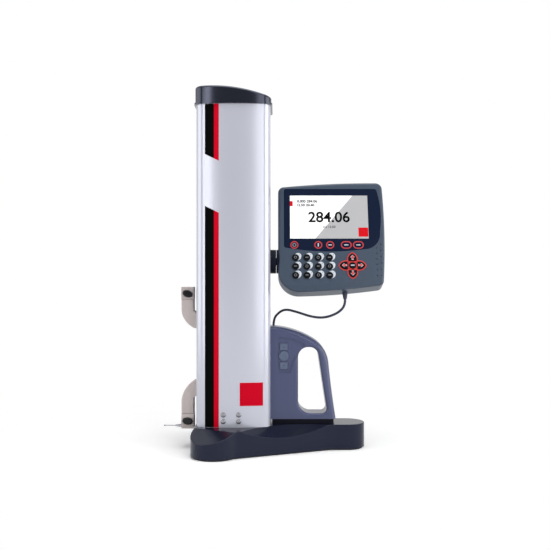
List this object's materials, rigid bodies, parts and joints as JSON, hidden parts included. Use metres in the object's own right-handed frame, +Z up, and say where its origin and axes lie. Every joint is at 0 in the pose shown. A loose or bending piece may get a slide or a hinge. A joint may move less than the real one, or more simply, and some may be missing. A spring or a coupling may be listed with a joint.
{
  "type": "height gauge",
  "caption": "Motor-driven height gauge with a pale column, slate base, tilting console, carrying handle and a ball probe on a C-shaped bracket.",
  "frame": {"origin": "on the ground plane, on the base's underside, under the middle of the column", "axes": "+X towards the handle and console, -Y towards the viewer of the display, +Z up"},
  "size_m": [0.3662, 0.224, 0.591],
  "materials": {
    "base_paint": "satin slate-blue paint",
    "black_rubber": "matte black sole",
    "zinc_steel": "plain steel",
    "column_paint": "pale silver satin",
    "cap_plastic": "dark navy, soft gloss",
    "raw_aluminium": "machined",
    "bracket_alloy": "warm grey anodised",
    "belt_rubber": "black toothed belt",
    "scale_glass": "graduated glass scale",
    "sensor_plastic": "black sensor housing",
    "board_green": "circuit board laminate",
    "knob_black": "glossy black",
    "ruby": "dark red synthetic ball",
    "handle_plastic": "grey-blue satin",
    "foot_plastic": "dark grey-blue",
    "pivot_dark": "dark navy satin",
    "console_plastic": "blue-grey satin",
    "dark_glass": "dark glossy panel",
    "display": "grey display",
    "key_plastic": "black",
    "arrow_black": "black",
    "handle_key_grey": "light grey",
    "cable_black": "dark flexible sheath"
  },
  "bodies": {
    "stand": {"base_casting": "base_paint", "sole_plate": "black_rubber", "base_screws": "zinc_steel", "battery_pack": "sensor_plastic", "control_board": "board_green", "column_shell": "column_paint", "column_screws": "zinc_steel", "foot_block": "raw_aluminium", "drive_motor": "zinc_steel", "toothed_belt": "belt_rubber", "top_plate": "raw_aluminium", "column_cap": "cap_plastic", "guide_rail": "zinc_steel", "measuring_scale": "scale_glass", "handle_shell_front": "handle_plastic", "handle_shell_rear": "handle_plastic", "handle_screws": "zinc_steel", "handle_foot": "foot_plastic", "pivot_boss": "pivot_dark", "cable_elbow": "cable_black", "console_cable": "cable_black"},
    "carriage": {"carriage_block": "raw_aluminium", "guide_runner": "zinc_steel", "reading_head": "sensor_plastic", "probe_bracket": "bracket_alloy", "probe_holders": "bracket_alloy", "probe_stem": "zinc_steel", "probe_ball": "ruby"},
    "counterweight": {"counterweight": "zinc_steel"},
    "drive_pulley": {"drive_pulley": "zinc_steel"},
    "idler_pulley": {"idler_pulley": "zinc_steel"},
    "upper_knob": {"upper_knob": "knob_black"},
    "lower_knob": {"lower_knob": "knob_black"},
    "console": {"tilt_shaft": "pivot_dark", "console_shell_front": "console_plastic", "console_shell_rear": "console_plastic", "console_glass": "dark_glass", "display_panel": "display", "console_board": "board_green", "cable_sleeve": "cable_black"},
    "key_r1c1": {"key_r1c1": "key_plastic"},
    "key_r1c2": {"key_r1c2": "key_plastic"},
    "key_r1c3": {"key_r1c3": "key_plastic"},
    "key_r1c4": {"key_r1c4": "key_plastic"},
    "key_r2c1": {"key_r2c1": "key_plastic"},
    "key_r2c2": {"key_r2c2": "key_plastic"},
    "key_r2c3": {"key_r2c3": "key_plastic"},
    "key_r2c4": {"key_r2c4": "key_plastic"},
    "key_r3c1": {"key_r3c1": "key_plastic"},
    "key_r3c2": {"key_r3c2": "key_plastic"},
    "key_r3c3": {"key_r3c3": "key_plastic"},
    "key_r3c4": {"key_r3c4": "key_plastic"},
    "centre_key": {"centre_key": "key_plastic"},
    "arrow_key_right": {"arrow_key_right": "arrow_black"},
    "arrow_key_up": {"arrow_key_up": "arrow_black"},
    "arrow_key_left": {"arrow_key_left": "arrow_black"},
    "arrow_key_down": {"arrow_key_down": "arrow_black"},
    "handle_key_up": {"handle_key_up": "handle_key_grey"},
    "handle_key_round": {"handle_key_round": "handle_key_grey"},
    "handle_key_down": {"handle_key_down": "handle_key_grey"}
  },
  "joints": [
    {"name": "carriage_slide", "type": "slide", "parent": "stand", "child": "carriage", "axis": [0, 0, 1], "range_m": [-0.033, 0.325]},
    {"name": "counterweight_slide", "type": "slide", "parent": "stand", "child": "counterweight", "axis": [0, 0, 1], "range_m": [-0.325, 0.033]},
    {"name": "drive_pulley_spin", "type": "hinge", "parent": "stand", "child": "drive_pulley", "pos_m": [0.026, -0.032, 0.07], "axis": [0, 1, 0], "range_deg": [-133, 1303]},
    {"name": "idler_pulley_spin", "type": "hinge", "parent": "stand", "child": "idler_pulley", "pos_m": [0.026, -0.032, 0.533], "axis": [0, 1, 0], "range_deg": [-133, 1303]},
    {"name": "upper_knob_turn", "type": "hinge", "parent": "carriage", "child": "upper_knob", "pos_m": [-0.0765, -0.0137, 0.2551], "axis": [0, 1, 0], "range_deg": [-180, 0]},
    {"name": "lower_knob_turn", "type": "hinge", "parent": "carriage", "child": "lower_knob", "pos_m": [-0.0765, -0.0137, 0.0455], "axis": [0, 1, 0], "range_deg": [-180, 0]},
    {"name": "console_tilt", "type": "hinge", "parent": "stand", "child": "console", "pos_m": [0.066, -0.014, 0.308], "axis": [1, 0, 0], "range_deg": [-45, 18], "deforming": ["console_cable"]},
    {"name": "key_r1c1_press", "type": "slide", "parent": "console", "child": "key_r1c1", "axis": [0, 0.9511, -0.309], "range_m": [0, 0.001], "stiffness_N_per_m": 400, "springref_m": -0.0005},
    {"name": "key_r1c2_press", "type": "slide", "parent": "console", "child": "key_r1c2", "axis": [0, 0.9511, -0.309], "range_m": [0, 0.001], "stiffness_N_per_m": 400, "springref_m": -0.0005},
    {"name": "key_r1c3_press", "type": "slide", "parent": "console", "child": "key_r1c3", "axis": [0, 0.9511, -0.309], "range_m": [0, 0.001], "stiffness_N_per_m": 400, "springref_m": -0.0005},
    {"name": "key_r1c4_press", "type": "slide", "parent": "console", "child": "key_r1c4", "axis": [0, 0.9511, -0.309], "range_m": [0, 0.001], "stiffness_N_per_m": 400, "springref_m": -0.0005},
    {"name": "key_r2c1_press", "type": "slide", "parent": "console", "child": "key_r2c1", "axis": [0, 0.9511, -0.309], "range_m": [0, 0.001], "stiffness_N_per_m": 400, "springref_m": -0.0005},
    {"name": "key_r2c2_press", "type": "slide", "parent": "console", "child": "key_r2c2", "axis": [0, 0.9511, -0.309], "range_m": [0, 0.001], "stiffness_N_per_m": 400, "springref_m": -0.0005},
    {"name": "key_r2c3_press", "type": "slide", "parent": "console", "child": "key_r2c3", "axis": [0, 0.9511, -0.309], "range_m": [0, 0.001], "stiffness_N_per_m": 400, "springref_m": -0.0005},
    {"name": "key_r2c4_press", "type": "slide", "parent": "console", "child": "key_r2c4", "axis": [0, 0.9511, -0.309], "range_m": [0, 0.001], "stiffness_N_per_m": 400, "springref_m": -0.0005},
    {"name": "key_r3c1_press", "type": "slide", "parent": "console", "child": "key_r3c1", "axis": [0, 0.9511, -0.309], "range_m": [0, 0.001], "stiffness_N_per_m": 400, "springref_m": -0.0005},
    {"name": "key_r3c2_press", "type": "slide", "parent": "console", "child": "key_r3c2", "axis": [0, 0.9511, -0.309], "range_m": [0, 0.001], "stiffness_N_per_m": 400, "springref_m": -0.0005},
    {"name": "key_r3c3_press", "type": "slide", "parent": "console", "child": "key_r3c3", "axis": [0, 0.9511, -0.309], "range_m": [0, 0.001], "stiffness_N_per_m": 400, "springref_m": -0.0005},
    {"name": "key_r3c4_press", "type": "slide", "parent": "console", "child": "key_r3c4", "axis": [0, 0.9511, -0.309], "range_m": [0, 0.001], "stiffness_N_per_m": 400, "springref_m": -0.0005},
    {"name": "centre_key_press", "type": "slide", "parent": "console", "child": "centre_key", "axis": [0, 0.9511, -0.309], "range_m": [0, 0.001], "stiffness_N_per_m": 400, "springref_m": -0.0005},
    {"name": "arrow_key_right_press", "type": "slide", "parent": "console", "child": "arrow_key_right", "axis": [0, 0.9511, -0.309], "range_m": [0, 0.001], "stiffness_N_per_m": 400, "springref_m": -0.0005},
    {"name": "arrow_key_up_press", "type": "slide", "parent": "console", "child": "arrow_key_up", "axis": [0, 0.9511, -0.309], "range_m": [0, 0.001], "stiffness_N_per_m": 400, "springref_m": -0.0005},
    {"name": "arrow_key_left_press", "type": "slide", "parent": "console", "child": "arrow_key_left", "axis": [0, 0.9511, -0.309], "range_m": [0, 0.001], "stiffness_N_per_m": 400, "springref_m": -0.0005},
    {"name": "arrow_key_down_press", "type": "slide", "parent": "console", "child": "arrow_key_down", "axis": [0, 0.9511, -0.309], "range_m": [0, 0.001], "stiffness_N_per_m": 400, "springref_m": -0.0005},
    {"name": "handle_key_up_press", "type": "slide", "parent": "stand", "child": "handle_key_up", "axis": [0, 1, 0], "range_m": [0, 0.001], "stiffness_N_per_m": 400, "springref_m": -0.0005},
    {"name": "handle_key_round_press", "type": "slide", "parent": "stand", "child": "handle_key_round", "axis": [0, 1, 0], "range_m": [0, 0.001], "stiffness_N_per_m": 400, "springref_m": -0.0005},
    {"name": "handle_key_down_press", "type": "slide", "parent": "stand", "child": "handle_key_down", "axis": [0, 1, 0], "range_m": [0, 0.001], "stiffness_N_per_m": 400, "springref_m": -0.0005}
  ],
  "couplings": [
    {"joint": "counterweight_slide", "follows": "carriage_slide", "ratio": -1},
    {"joint": "drive_pulley_spin", "follows": "carriage_slide", "rad_per_m": 69.93},
    {"joint": "idler_pulley_spin", "follows": "carriage_slide", "rad_per_m": 69.93}
  ]
}
